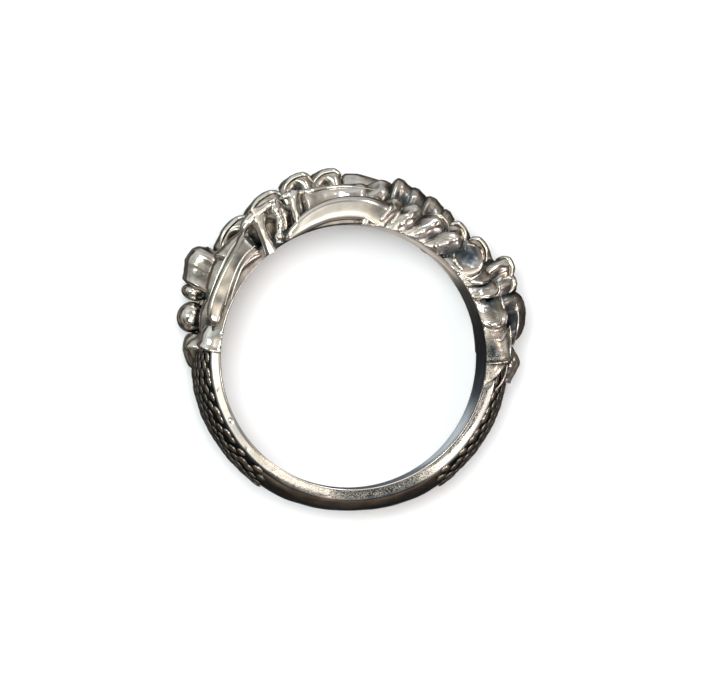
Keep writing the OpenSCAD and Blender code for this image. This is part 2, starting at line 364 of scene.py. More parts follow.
# %% [markdown]
# ## Toes
# A toe is a tube that lies along the band, cut off below by the finger hole. What makes it a toe is its
# row of scales: each is a low frustum round the tube, whose free edge faces the shoulder and rides over
# the scale behind it, as roof tiles do. The tube's skin therefore only has to know, at each angle along
# the toe and each turn round it, which scale is on top there and how high that scale stands.

# %% The profile of each kind of scale
PROFILES = {
    # Share of the scale's height at each share of its length, from its free edge
    "scute": [(0, 0), (0.04, 0.6), (0.09, 0.94), (0.15, 1), (0.28, 0.86), (0.55, 0.76), (0.85, 0.5),
              (1.3, 0.1)],
    "fold": [(0, 0.2), (0.1, 0.48), (0.25, 0.8), (0.45, 1), (0.6, 0.96), (0.85, 0.6), (1.05, 0.25),
             (1.2, 0)],
    "leaf": [(0, 0), (0.12, 0.4), (0.35, 0.78), (0.6, 1), (0.78, 0.95), (0.92, 0.66), (1, 0)],
    "spike": [(0, 0.1), (0.3, 0.6), (0.55, 1), (0.7, 0.8), (1, 0.1)],
    "bone": [(0, 0.3), (0.06, 0.6), (0.2, 0.7), (0.36, 0.86), (0.5, 1), (0.72, 1), (0.86, 0.8), (1, 0.3)],
    "bell": [(0, 0.2), (0.1, 0.42), (0.3, 0.7), (0.5, 0.93), (0.64, 1), (0.78, 0.94), (0.9, 0.7), (1, 0.3)],
    "knuckle": [(0, 0), (0.15, 0.35), (0.38, 0.92), (0.5, 1), (0.66, 0.85), (0.86, 0.3), (1, 0)],
    "shaft": [(0, 0.1), (0.05, 0.7), (0.12, 0.95), (0.25, 0.8), (0.5, 0.72), (0.8, 0.8), (0.93, 0.97),
              (1, 0.2)],
    "arm": [(0, 0.1), (0.05, 0.8), (0.12, 0.98), (0.25, 1), (0.45, 0.86), (0.7, 0.64), (0.9, 0.4), (1, 0.1)],
}
Scale = namedtuple("Scale", "kind start end height lean tongue hollow flare cup rim",
                   defaults=[0, 0, 0.5, 0, 0, 0])
Toe = namedtuple("Toe", "name scales line foot step turns tongue_on pinch",
                 defaults=["near", 0.2, 96, "top", 0.55])
LINE = "angle across half"    # a toe's middle line and half its width
print(len(PROFILES), "kinds of scale")

# %% Sizes of a toe's skin
toe_under = -1.5    # where the oval section of a toe would end below, inside the finger hole
flush = 0.02        # the hole's wall stands this far inside the undersides of the toes
boxiness = 0.85     # 1 is an oval section, and less is squarer
rise_from = 0.22    # how high the toe's sides already count on the way from its foot to its top
bed_depth = 1.1     # the bed under the scales lies this many hollows below their crests
nowhere = -9.0      # a height below every skin, where a scale isn't
meld = 0.03         # how wide the crease is where two scales meet
wrinkle = 0.03      # height of the wrinkles and of the unevenness left by the carver's knife
fold_knobs = 0.07   # height of the small knobs along the crest of a fold
knobs_round = 7     # knobs once round a section
end_taper = 1.6     # degrees over which the ends of a toe sink into the band
cup_at, cup_size = (0.48, 0.6), (0.24, 0.22)    # a cup's place and size along a scale and up its side
edge_room = 0.02    # nothing comes closer than this to the two planes that the head ends at


def kept_in(across, edge=0.07):
    """Distances across, eased so that none passes the two edges of the head."""
    limit = half_depth - edge_room
    above = limit - edge * np.logaddexp(0, (limit - across) / edge)
    return edge * np.logaddexp(0, (above + limit) / edge) - limit


print("nothing lies further across than", round(float(kept_in(99.0)), 2), "mm")

# %% Where a toe's skin lies
def toe_ends(toe):
    """First and last angle of a toe's skin."""
    return (min(s.start - s.tongue - abs(s.lean) / 2 for s in toe.scales),
            max(s.end for s in toe.scales))


def rise_and_bulge(toe, turn):
    """How far up the outside a turn lies, and how much of a tongue reaches forward there."""
    rise = np.clip(rise_from + (1 - rise_from) * np.cos(turn), 0, 1)
    if toe.tongue_on == "side":
        return rise, 1 - np.abs(2 * rise - 1) ** 3
    return rise, np.maximum(np.cos(turn), 0) ** 2


def share_along(scale, angle, rise, bulge):
    """How far along a scale a place lies, 0 at its free edge and 1 at its other end."""
    at = angle + scale.lean * (rise - 0.5) + scale.tongue * bulge
    share = (at - scale.start) / (scale.end - scale.start)
    return 0.5 + (share - 0.5) / (1 + scale.flare * (rise - 0.5))


def squared(wave, power):
    """A sine or cosine whose swing is made squarer by a power below 1."""
    return np.sign(wave) * np.abs(wave) ** power


def toe_surface(toe, angle, turn):
    """Height and distance across of a toe's skin."""
    rise, bulge = rise_and_bulge(toe, turn)
    middles = [(s.start + s.end) / 2 for s in toe.scales]
    crest = curve(list(zip(middles, [s.height for s in toe.scales])), angle)
    bed = crest - bed_depth * curve(list(zip(middles, [s.hollow for s in toe.scales])), angle)
    first, last = toe_ends(toe)
    bed = bed - np.exp((first - angle) / end_taper) - np.exp((angle - last) / end_taper)
    layers = [bed + 0 * turn]
    dent = 0 * (angle + turn)
    for scale in toe.scales:
        share = share_along(scale, angle, rise, bulge)
        on = (share >= 0) & (share <= PROFILES[scale.kind][-1][0])
        height = scale.height - (1 - curve(PROFILES[scale.kind], share)) * scale.hollow
        if scale.kind == "fold":
            height = height + fold_knobs * np.cos(knobs_round * turn + scale.start)
        layers.append(np.where(on, height, nowhere))
        dent = dent + scale.cup * np.exp(
            -((share - cup_at[0]) / cup_size[0]) ** 2 - ((rise - cup_at[1]) / cup_size[1]) ** 2)
    top = meld * np.logaddexp.reduce(np.stack(layers) / meld, axis=0)
    half, middle = (curve(column(toe.line, name), angle) for name in ("half", "across"))
    side, out = squared(np.sin(turn), boxiness), squared(np.cos(turn), boxiness)
    height = (top + toe_under) / 2 + (top - toe_under) / 2 * out
    return height, middle + (half - toe.pinch * (crest - top)) * side - dent * side


print("sides of a toe start at a rise of", rise_from)

# %% The skin of a toe
crowding = 0.35    # how much closer the turns lie over the outside than inside the hole


def turns_round(count):
    """Turns round a section, closer over the outside than inside the hole."""
    t = np.linspace(-math.pi, math.pi, count, endpoint=False)
    return t - crowding * np.sin(t)


def toe_skin(toe):
    first, last = toe_ends(toe)
    angle = np.linspace(first, last, round((last - first) / toe.step))[:, None]
    turn = turns_round(toe.turns)[None, :]
    height, across = toe_surface(toe, angle, turn)
    rough = place(angle, height, across, toe.foot)
    lumps = uneven(rough, size=0.9, seed=3.7) + 0.6 * uneven(rough, size=0.35, seed=8.1)
    height = height + wrinkle * lumps * np.maximum(np.cos(turn) + 0.3, 0)
    across = across + wrinkle * lumps * np.abs(np.sin(turn))
    height = np.maximum(height, flush)
    return skin(toe.name, place(angle, height, kept_in(across), toe.foot))


print("turns of a section:", np.degrees(np.diff(turns_round(96))).round(1)[[0, 47]], "degrees apart")

# %% [markdown]
# ## Rims
# The carver rolled thin wires of wax and laid them along the free edges of the plates, where they now
# shine as bright lines against the dark hollows behind. Each wire starts as a line of points that know how
# thick it is there. The lines are collected for each foot, and are swept into wires further down.

# %% Lines for the rims
Wire = namedtuple("Wire", "points thickness")
wires = {"near": [], "far": []}
rim_at = 0.12      # share of a plate's length at which its rim lies
rim_reach = 1.72   # how far down both sides a rim runs, in radians from the top


def taper(count, blunt=6, least=0.002):
    """Thins a wire to nearly nothing at both ends. A higher power keeps more of it thick."""
    return np.sqrt(np.maximum(1 - np.linspace(-1, 1, count) ** blunt, least))


def add_rims(toe, count=48):
    """A rim along the free edge of each scale that has one."""
    turn = np.linspace(-rim_reach, rim_reach, count)
    rise, bulge = rise_and_bulge(toe, turn)
    for scale in toe.scales:
        if scale.rim:
            at = 0.5 + (rim_at - 0.5) * (1 + scale.flare * (rise - 0.5))
            at = scale.start + (scale.end - scale.start) * at
            angle = at - scale.lean * (rise - 0.5) - scale.tongue * bulge
            height, across = toe_surface(toe, angle, turn)
            wires[toe.foot].append(Wire(place(angle, height, across, toe.foot), scale.rim * taper(count)))


def make_toe(toe):
    add_rims(toe)
    return toe_skin(toe)


print("a rim ends at", taper(48)[0].round(2), "of its thickness")

# %% [markdown]
# ## The outer toes
# The outer toe runs along the edge of the head and is what the photo shows best. Its scales start at the
# shoulder as long plates with round tongues, and turn into short leaning folds before the claw. Each row
# below is one scale: its kind, where it starts and ends, its height, how far it leans back on its outer
# side, how far its tongue reaches, and how deep the hollow behind it is.

# %% Outer toes
OUTER_SCALES = [
    Scale("scute", -9.5, -1.2, 1.6, -13, 0, 0.5),
    Scale("scute", -2.3, 14, 2.05, 0.5, 0, 0.6),
    Scale("scute", 16.5, 28, 2.05, 2, 5.6, 0.85, 0, 0.12),
    Scale("scute", 26.5, 32, 2.2, 3, 2.6, 0.6, 0, 0.1),
    Scale("scute", 31.5, 39, 2.1, 3.5, 2, 0.6),
    Scale("scute", 41.5, 52, 2.5, 1.5, 7.6, 0.9, 0, 0.1),
    Scale("fold", 50.2, 59.5, 2.5, 8.5, 3.5, 0.8),
    Scale("fold", 58.2, 67.2, 2.4, 8.5, 2, 0.75),
    Scale("fold", 67, 74.8, 2.35, 7, 1.5, 0.7),
    Scale("fold", 74.6, 81.2, 2.3, 6.5, 1, 0.65),
    Scale("fold", 80.6, 86.5, 2.1, 4.5, 0, 0.6),
]
OUTER_LINE = table(LINE, [(-17, 3.75, 0.9), (0, 3.85, 1.15), (80, 3.85, 1.2)])
near_outer_toe = Toe("near_outer_toe", OUTER_SCALES, OUTER_LINE, "near", 0.15, 116, "side")
far_outer_toe = Toe("far_outer_toe", OUTER_SCALES, OUTER_LINE, "far", 0.24, 84, "side")
near_outer = make_toe(near_outer_toe)
far_outer = make_toe(far_outer_toe)
print("outer toe:", len(near_outer.data.polygons), "faces")

# %% [markdown]
# ## The middle toes
# A middle toe starts at mid depth on its shoulder, stands highest of all, and at its end swings out to
# the edge, where its knuckles and claw lie past the tip of the outer claw. The near foot's is scaled. The
# far foot's is boned: two beads, then long bones with flared ends whose near sides are hollow.

# %% Middle toes
SCALED_TOE = [
    Scale("spike", -9.5, 4, 2.75, hollow=0.6),
    Scale("leaf", 4.6, 23.5, 3.62, hollow=1.3, cup=0.25),
    Scale("bell", 21.5, 27, 3.7, hollow=0.5),
    Scale("bell", 25, 33.5, 4.08, hollow=0.9, cup=0.25),
    Scale("bell", 34, 44.5, 3.25, hollow=0.5, cup=0.3),
    Scale("bell", 44.5, 53, 3.05, hollow=0.5, cup=0.3),
    Scale("bone", 52.5, 58.5, 3.2, hollow=0.7, cup=0.15),
    Scale("bone", 57.5, 65.5, 3.45, hollow=0.7, cup=0.2),
    Scale("bone", 64.5, 71, 3.55, hollow=0.7, cup=0.1),
    Scale("bone", 69.5, 77, 3.8, hollow=0.9, cup=0.25),
    Scale("fold", 75, 83.5, 3.4, hollow=0.6),
    Scale("shaft", 83.5, 107.5, 3.05, hollow=0.45, cup=0.12),
]
BONED_TOE = [
    Scale("leaf", -5, 9, 2.5, hollow=0.7),
    Scale("spike", 9, 24, 1.8, hollow=0.4),
    Scale("bone", 24.3, 38, 4.25, hollow=1.2, cup=0.1),
    Scale("bell", 38, 54.5, 3.52, hollow=0.7, cup=0.6),
    Scale("bell", 53.5, 67.5, 3.85, hollow=0.7, cup=0.6),
    Scale("bell", 67.5, 78, 4.3, hollow=0.7, cup=0.6),
    Scale("bell", 77.5, 87.5, 4.2, hollow=0.6, cup=0.5),
    Scale("arm", 87, 107.5, 3.75, hollow=0.95),
]
KNUCKLES = [
    Scale("knuckle", 106.8, 114.6, 2.95, 3, 0, 1.1),
    Scale("knuckle", 114.4, 121.6, 2.95, 4, 0, 1.2),
    Scale("knuckle", 120.2, 130.6, 2.95, 0, 0, 1.3, 0.8),
]
MIDDLE_LINE = table(LINE, [
    (-5, 1.2, 0.9), (20, 1.4, 1.4), (90, 1.5, 1.3), (105, 2.2, 1.25), (112, 2.9, 1.2), (118, 3.4, 1.1),
    (131, 3.5, 1.1),
])
near_middle_toe = Toe("near_middle_toe", SCALED_TOE + KNUCKLES, MIDDLE_LINE, "near", 0.22, 100)
far_middle_toe = Toe("far_middle_toe", BONED_TOE + KNUCKLES, MIDDLE_LINE, "far", 0.22, 100)
near_middle = make_toe(near_middle_toe)
far_middle = make_toe(far_middle_toe)
print("middle toe:", len(near_middle.data.polygons), "faces")

# %% [markdown]
# ## Inner toes, knobs and heels
# The rest of each foot fills its shoulder: a short inner toe beside the middle one, a knob, and at the
# far edge the heel that the other foot's claw points at.

# %% Inner toes, knobs and heels
INNER_SCALES = [
    Scale("leaf", 7, 24, 1.8, hollow=0.5),
    Scale("bell", 24, 40, 2.5, hollow=0.7),
    Scale("scute", 38, 53, 2.8, 0, 3, 0.6, 0, 0, 0.08),
    Scale("scute", 51, 65, 2.7, 0, 3, 0.6, 0, 0, 0.08),
    Scale("scute", 63, 78, 2.5, 0, 3, 0.6, 0, 0, 0.08),
]
INNER_LINE = table(LINE, [(7, -1.3, 0.8), (30, -1.25, 1.05), (60, -1.1, 1.05), (78, -1, 0.85)])
KNOB = [Scale("spike", -3, 9, 2.45, hollow=1)]
KNOB_LINE = table(LINE, [(-3, -1, 0.85), (9, -1, 0.95)])
HEEL_SCALES = [Scale("scute", 2.6, 12.5, 1.75, -2, 1, 0.9)]
HEEL_LINE = table(LINE, [(-2, -3.85, 1.1), (15, -3.85, 1.15)])


def small_toes(foot):
    return [make_toe(toe) for toe in (
        Toe(foot + "_inner_toe", INNER_SCALES, INNER_LINE, foot, 0.35, 64),
        Toe(foot + "_knob", KNOB, KNOB_LINE, foot, 0.25, 64),
        Toe(foot + "_heel", HEEL_SCALES, HEEL_LINE, foot, 0.25, 72, "side"),
    )]


small = small_toes("near") + small_toes("far")
print(len(small), "small toes, knobs and heels")

# %% [markdown]
# ## Claws
# A claw is smooth and was filed, so it has long soft facets that run to the tip and break its highlight
# into bands. Its section is an oval with a low ripple of four facets, and its last stretch shrinks as a
# quarter circle does, so that the tip is blunt.

# %% Claws
CLAW = "angle under back across half"    # a section's inner and outer side, middle and half width
OUTER_CLAW = table(CLAW, [
    (77, -0.5, 1.75, 4.1, 1.0), (81, -0.3, 1.95, 4.12, 1.0), (86, 0.1, 2.08, 4.15, 0.95),
    (92, 0.2, 2.08, 4.18, 0.9), (98.5, 0.2, 1.98, 4.22, 0.85), (105, 0.1, 1.7, 4.28, 0.78),
    (111, 0, 1.3, 4.35, 0.68), (116, -0.05, 0.85, 4.4, 0.52), (120.6, -0.05, 0.45, 4.42, 0.38),
])
MIDDLE_CLAW = table(CLAW, [
    (130.6, -0.3, 1.9, 3.7, 0.7), (132.6, -0.1, 2.5, 3.9, 1.02), (137, 0.2, 2.25, 4.05, 1.0),
    (143.5, 0.35, 2, 4.12, 0.95), (151, 0.3, 1.8, 4.2, 0.88), (158, 0.25, 1.66, 4.25, 0.8),
    (163, 0.22, 1.48, 4.3, 0.7), (168, 0.3, 1.1, 4.32, 0.5),
])
facets = 4
facet_depth = 0.05  # share of the claw's radius
face_flat = 0.8     # 1 is an oval section, and less flattens the claw's near and far faces
tip_length = 3.0    # degrees over which the tip rounds off
claw_waver = 0.02   # unevenness left by the file


def claw(name, rows, foot="near", step=0.22, turns=72, facet_turn=0.6):
    first, last = rows[0].angle, rows[-1].angle
    angle = np.linspace(first, last, round((last - first) / step))[:, None]
    turn = np.linspace(-math.pi, math.pi, turns, endpoint=False)[None, :]
    blunt = np.sqrt(np.maximum(1 - (1 - grows(angle, last, -tip_length)) ** 2, 1e-4))
    under, back, middle, half = (curve(column(rows, name), angle) for name in CLAW.split()[1:])
    facet = 1 + facet_depth * np.cos(facets * (turn - facet_turn))
    height = (under + back) / 2 + (back - under) / 2 * blunt * facet * np.cos(turn)
    across = middle + half * blunt * facet * squared(np.sin(turn), face_flat)
    lumps = uneven(place(angle, height, across, foot), size=1.6, seed=5.3)
    height = np.maximum(height + claw_waver * lumps, flush)
    return skin(name, place(angle, height, kept_in(across), foot))


claws = [claw(f"{foot}_{which}_claw", rows, foot)
         for foot in ("near", "far") for which, rows in (("outer", OUTER_CLAW), ("middle", MIDDLE_CLAW))]
print(len(claws), "claws of", len(claws[0].data.polygons), "faces")

# %% [markdown]
# ## Beads
# Two beads lie in the crook of the far foot, before the first bone, and a few grains sit beside the near
# foot's leaf and its knob. They are true balls, a little flattened along the toe, so they are made as
# balls and not as scales.

# %% Beads
BEADS = table("name foot angle height across length depth width", [
    ("large_bead", "far", 14.1, 2.15, 1.5, 1.12, 1.1, 1.1),
    ("small_bead", "far", 22.4, 2.6, 1.45, 0.58, 0.92, 1.0),
    ("leaf_bead", "near", 16.1, 2.9, 2.1, 0.3, 0.3, 0.3),
    ("knob_bead_upper", "near", -0.9, 2.15, 2.2, 0.26, 0.3, 0.3),
    ("knob_bead_lower", "near", -3.2, 1.95, 2.1, 0.24, 0.26, 0.26),
])


def make_bead(bead, rings=40, turns=64):
    """A ball whose radii run along the toe, outwards and across it."""
    pole = 0.02    # the first and last ring of points, in radians from the poles
    lift = np.linspace(pole, math.pi - pole, rings)[:, None]
    turn = np.linspace(0, 2 * math.pi, turns, endpoint=False)[None, :]
    along = bead.length * np.cos(lift) / (hole_r + bead.height)
    height = bead.height + bead.depth * np.sin(lift) * np.cos(turn)
    across = bead.across + bead.width * np.sin(lift) * np.sin(turn)
    return skin(bead.name, place(bead.angle + np.degrees(along), height, across, bead.foot))


beads = [make_bead(b) for b in BEADS]
print(len(beads), "beads")

# %% [markdown]
# ## Strokes of wax
# The liveliest lines don't follow a scale's edge: the bright edges of the plates, the funnel-shaped last
# knuckle, the knotted ridge beside it, the long lip on the middle toe, and the rolled mouth of the hole.
# Each is one stroke of soft wax, thick here and thin there. A row says where the stroke passes and how
# thick it is, and where a row leaves the distance across open, the stroke sits on the near side of its toe.

# %% Strokes on the outer toes
Stroke = namedtuple("Stroke", "angle height thick across", defaults=[None])
SMOOTH_STROKES = [
    # Outer edges of the last plate and of the first fold
    [(51.5, 2.3, 0.03), (49.5, 2.5, 0.08), (46.9, 2.2, 0.09), (43.8, 1.6, 0.04)],
    [(60.4, 2.3, 0.03), (58, 2.45, 0.08), (55, 2.3, 0.09), (52.6, 1.8, 0.04)],
    # Ear-shaped plate
    [(44.9, 2.0, 0.04), (42.5, 2.3, 0.08), (40.5, 2.4, 0.1), (36.7, 1.95, 0.1), (33.4, 1.3, 0.09),
     (33.6, 0.7, 0.09), (36, 0.3, 0.05)],
    # Short plate with a hooked edge, and the knob before it
    [(28, 2.2, 0.04), (25.6, 2.15, 0.1), (23.2, 1.7, 0.1), (24, 1.1, 0.09), (25.3, 0.5, 0.05)],
    [(29, 1.6, 0.06), (30.2, 1.1, 0.16), (32.3, 0.6, 0.2), (35, 0.3, 0.08)],
    # Round-ended plate, the swelling along its edge and a thin line under it
    [(23.2, 2.0, 0.04), (18.5, 1.9, 0.1), (15.7, 1.95, 0.1), (12.6, 1.75, 0.1), (10.9, 1.35, 0.11),
     (10.5, 0.85, 0.11), (11.4, 0.4, 0.06)],
    [(15, 1.5, 0.06), (13, 1.15, 0.18), (13.2, 0.8, 0.2), (14.5, 0.4, 0.1)],
    [(24.4, 0.35, 0.03), (20, 0.42, 0.06), (16.5, 0.45, 0.03)],
    # Long plate's outer edge and its upper end
    [(11.4, 2.0, 0.04), (8, 1.95, 0.09), (3, 1.8, 0.09), (-1.3, 1.65, 0.06)],
    [(11, 1.95, 0.05), (8.6, 1.5, 0.1), (6.6, 1.1, 0.12), (7.2, 0.6, 0.06)],
    # Pointed plate's outer edge
    [(-2.6, 1.6, 0.05), (-6, 1.55, 0.09), (-9.6, 1.35, 0.1), (-13, 1.0, 0.1), (-16.5, 0.65, 0.06),
     (-19.5, 0.4, 0.03)],
]
KNOTTED_STROKES = [
    # Knots along the lower end of the long plate
    [(-1.6, 1.6, 0.07), (-2.2, 0.9, 0.1), (-2.6, 0.2, 0.07)],
    # Ear-shaped plate's lower edge, then the crests of the folds
    [(46, 0.9, 0.06), (43.7, 0.5, 0.2), (40.8, 0.45, 0.2), (38.2, 0.5, 0.08)],
    [(47.6, 2.2, 0.06), (49, 1.7, 0.16), (51.2, 1.0, 0.22), (53.3, 0.45, 0.24), (54.5, 0.2, 0.1)],
    [(57.2, 2.2, 0.06), (59.3, 1.5, 0.16), (61.6, 0.7, 0.24), (64, 0.3, 0.16)],
    [(66, 2.0, 0.06), (67.8, 1.5, 0.15), (69.8, 0.8, 0.22), (71.2, 0.25, 0.14)],
    [(71.6, 1.8, 0.06), (73.2, 0.9, 0.17), (74.5, 0.4, 0.12)],
    [(74.8, 2.0, 0.06), (76.8, 1.2, 0.2), (79.1, 0.4, 0.16)],
]
print(len(SMOOTH_STROKES), "smooth and", len(KNOTTED_STROKES), "knotted strokes on each outer toe")

# %% Strokes on the middle toes and claws
LEAF_EDGE = [(20, 3.0, 0.04), (14, 2.9, 0.1), (9, 2.6, 0.12), (4, 2.2, 0.1), (1.5, 1.9, 0.04)]
LIP = [(82, 2.6, 0.04), (90, 2.72, 0.12), (98, 2.76, 0.16), (104, 2.78, 0.2), (108, 2.86, 0.24),
       (111.3, 2.98, 0.3, 4.3), (113.6, 3.04, 0.24, 4.4), (115.2, 3.02, 0.06, 4.4)]
# The first and the last of the three funnels beside the knuckles
TRUMPETS = [
    [(110, 2.9, 0.46, 4.15), (110.8, 2.6, 0.38, 4.4), (111.5, 2.1, 0.26, 4.6), (112, 1.5, 0.26, 4.65),
     (112.6, 0.9, 0.2, 4.65)],
    [(124.4, 2.9, 0.9, 4.0), (124.7, 2.55, 0.74, 4.2), (125.3, 2.15, 0.52, 4.45), (126.1, 1.65, 0.38, 4.62),
     (126.9, 1.0, 0.4, 4.62), (127.8, 0.2, 0.6, 4.4)],
]
KNOTTED_TRUMPET = [(117.6, 2.95, 0.45, 4.3), (117.8, 2.5, 0.32, 4.5), (118, 2.0, 0.26, 4.65),
                   (118.6, 1.45, 0.26, 4.7), (120.6, 0.9, 0.29, 4.7), (122.8, 0.3, 0.36, 4.6)]
SIDE_RIDGE = [(115.9, 2.4, 0.06, 4.3), (115.8, 1.9, 0.13, 4.4), (116.4, 1.4, 0.13, 4.4),
              (118, 0.8, 0.1, 4.4)]
CLAW_STROKES = [
    # Lip of the last trumpet, and the claw's upper edge
    [(132, 2.2, 0.1, 4.3), (130.4, 2.6, 0.3, 4.4), (127.6, 2.82, 0.4, 4.4), (124.3, 2.92, 0.4, 4.4),
     (121.4, 2.92, 0.3, 4.45), (119.1, 3.02, 0.26, 4.45), (117.2, 2.92, 0.24, 4.4),
     (116.2, 2.5, 0.1, 4.45)],
    [(131.5, 2.3, 0.08, 4.3), (137, 2.25, 0.1, 4.45), (144, 2.0, 0.1, 4.5), (152, 1.75, 0.09, 4.5),
     (160, 1.55, 0.08, 4.5), (165.5, 1.2, 0.04, 4.45)],
    # The two long ridges along the claw's near side
    [(131.6, 1.15, 0.06, 4.95), (136, 1.2, 0.09, 5.0), (140.1, 1.1, 0.09, 5.0), (148.3, 0.75, 0.09, 4.98),
     (157.9, 0.45, 0.05, 4.9)],
    [(131.8, 0.75, 0.06, 4.9), (138.8, 0.8, 0.09, 4.97), (146.7, 0.5, 0.09, 4.95), (155, 0.2, 0.05, 4.9)],
]
# Share of a bell's length, and height and thickness over it
ARCH = [(0.1, -0.95, 0.07), (0.25, -0.6, 0.16), (0.5, -0.3, 0.22), (0.75, -0.25, 0.22), (0.93, -0.5, 0.18),
        (1.03, -0.95, 0.07)]
print(len(TRUMPETS) + 1, "trumpets and", len(CLAW_STROKES), "strokes on each middle claw")

# %% Laying a stroke
stroke_points = 60
knots_apart = 0.8     # millimetres between the knots of a knotted stroke
knot_swell = 0.22     # how much thicker a knot is
knot_drift, drift_rate = 1.3, 2.1    # how far the knots drift from even, and how fast along the stroke
seat_turns = np.linspace(0.02, 1.9, 200)    # turns tried for a stroke's seat, from the top down one side


def seat(toe, angle, height, side=1):
    """Distance across at which one side of a toe has the given height."""
    heights, across = toe_surface(toe, angle + 0 * seat_turns, seat_turns * side)
    return across[np.argmax(heights < height)]


def lay_stroke(foot, rows, toe=None, knotted=False, tapered=True, side=1):
    """A stroke drawn smoothly through its rows."""
    rows = [Stroke(*row) for row in rows]
    rows = [r if r.across else r._replace(across=seat(toe, r.angle, r.height, side)) for r in rows]
    step = np.linspace(0, len(rows) - 1, stroke_points)
    angle, height, thick, across = (curve(list(enumerate(values)), step) for values in zip(*rows))
    points = place(angle, height, across, foot)
    if knotted:
        length = np.concatenate([[0], np.cumsum(np.linalg.norm(np.diff(points, axis=0), axis=1))])
        drift = knot_drift * np.sin(drift_rate * length)
        thick = thick * (1 + knot_swell * np.cos(2 * math.pi * length / knots_apart + drift))
    wires[foot].append(Wire(points, thick * taper(stroke_points) if tapered else thick))


def lay_arches(toe, side):
    """A soft arch over the hollow side of each bell, drawn from shares of its length and from its height."""
    for scale in toe.scales:
        if scale.kind == "bell":
            length = scale.end - scale.start
            rows = [(scale.start + length * share, scale.height + over, thick)
                    for share, over, thick in ARCH]
            lay_stroke(toe.foot, rows, toe, side=side)


print("knots", knots_apart, "mm apart")

# %% All strokes
lay_arches(far_middle_toe, -1)
lay_arches(near_middle_toe, 1)
for outer, middle in ((near_outer_toe, near_middle_toe), (far_outer_toe, far_middle_toe)):
    foot = outer.foot
    for rows in SMOOTH_STROKES:
        lay_stroke(foot, rows, outer)
    for rows in KNOTTED_STROKES:
        lay_stroke(foot, rows, outer, knotted=True)
    lay_stroke(foot, LIP, middle)
    for rows in TRUMPETS:
        lay_stroke(foot, rows, tapered=False)
    for rows in CLAW_STROKES:
        lay_stroke(foot, rows)
    lay_stroke(foot, KNOTTED_TRUMPET, knotted=True, tapered=False)
    lay_stroke(foot, SIDE_RIDGE, knotted=True)
lay_stroke("near", LEAF_EDGE, near_middle_toe)

# The rolled mouth of the hole: first and last angle, height and thickness of each of its two wires
MOUTH = [(130, 374, 0.06, 0.07), (318, 374, 0.22, 0.04)]
mouth_points, mouth_sunk = 260, 0.02
for first, last, height, thickness in MOUTH:
    angle = np.linspace(first, last, mouth_points)
    points = place(angle, height, band_half(angle) - mouth_sunk)
    wires["near"].append(Wire(points, thickness * taper(mouth_points)))
print({foot: len(lines) for foot, lines in wires.items()}, "wires")

# %% [markdown]
# ## From lines to wire
# Wax wire is pressed through a round hole, so its section is a circle that only grows thicker or thinner.
# The lines of each foot become one mesh of edges, and one tree of Geometry Nodes sweeps a circle along all
# of them. The last nodes of each tree make what it grew real and silver, and a plain mesh is kept of it.

# %% Trees and what grows from them
def new_tree(name, inputs):
    """A tree with a geometry input and (name, kind) inputs, and the sockets that give their values."""
    tree = bpy.data.node_groups.new(name, "GeometryNodeTree")
    for socket, kind in [("Geometry", "Geometry")] + inputs:
        tree.interface.new_socket(socket, in_out="INPUT", socket_type="NodeSocket" + kind)
    tree.interface.new_socket("Geometry", in_out="OUTPUT", socket_type="NodeSocketGeometry")
    return tree, add_node(tree, "NodeGroupInput").outputs


def close_tree(tree, geometry):
    """Makes what the tree has grown real, and silver."""
    solid = add_node(tree, "GeometryNodeRealizeInstances", {"Geometry": geometry})
    metal = add_node(tree, "GeometryNodeSetMaterial", {
        "Geometry": solid.outputs["Geometry"], "Material": silver})
    add_node(tree, "NodeGroupOutput", {"Geometry": metal.outputs["Geometry"]})
    return tree


def grow(name, guide, tree, values):
    """The plain mesh that a tree grows on a guide mesh. Values are given by the names of the inputs."""
    source = new_object(name + "_guide", guide)
    nodes = source.modifiers.new(tree.name, "NODES")
    nodes.node_group = tree
    for item in tree.interface.items_tree:
        if item.in_out == "INPUT" and item.name in values:
            nodes[item.identifier] = values[item.name]
    shape = source.evaluated_get(bpy.context.evaluated_depsgraph_get())
    mesh = bpy.data.meshes.new_from_object(shape)
    source.modifiers.remove(nodes)
    bpy.data.objects.remove(source)
    mesh.name = name
    mesh.shade_smooth()
    return new_object(name, mesh)


print("a tree is closed with", silver.name)

# %% Geometry Nodes that sweep the wires
wire_sides = 8


def wire_tree():
    """Geometry Nodes that turn edges into wire, as thick as the attribute thickness says."""
    tree, given = new_tree("wax_wire", [("Thickness factor", "Float"), ("Sides", "Int")])
    line = add_node(tree, "GeometryNodeMeshToCurve", {"Mesh": given["Geometry"]})
    thick = add_node(tree, "GeometryNodeInputNamedAttribute", {"Name": "thickness"}, data_type="FLOAT")
    scaled = add_node(tree, "ShaderNodeMath", {
        0: thick.outputs["Attribute"], 1: given["Thickness factor"]}, operation="MULTIPLY")
    hoop = add_node(tree, "GeometryNodeCurvePrimitiveCircle", {"Resolution": given["Sides"], "Radius": 1.0})
    tube = add_node(tree, "GeometryNodeCurveToMesh", {
        "Curve": line.outputs["Curve"], "Profile Curve": hoop.outputs["Curve"],
        "Scale": scaled.outputs["Value"], "Fill Caps": True})
    return close_tree(tree, tube.outputs["Mesh"])


def guide_lines(name, lines):
    """A mesh of edges with the thickness of the wire at each vertex."""
    mesh = bpy.data.meshes.new(name)
    edges, start = [], 0
    for line in lines:
        edges += [(start + k, start + k + 1) for k in range(len(line.points) - 1)]
        start += len(line.points)
    points, thickness = (np.concatenate(values) * MM for values in zip(*lines))
    mesh.from_pydata(points, edges, [])
    thick = mesh.attributes.new("thickness", "FLOAT", "POINT")
    thick.data.foreach_set("value", thickness.astype(np.float32))
    return mesh


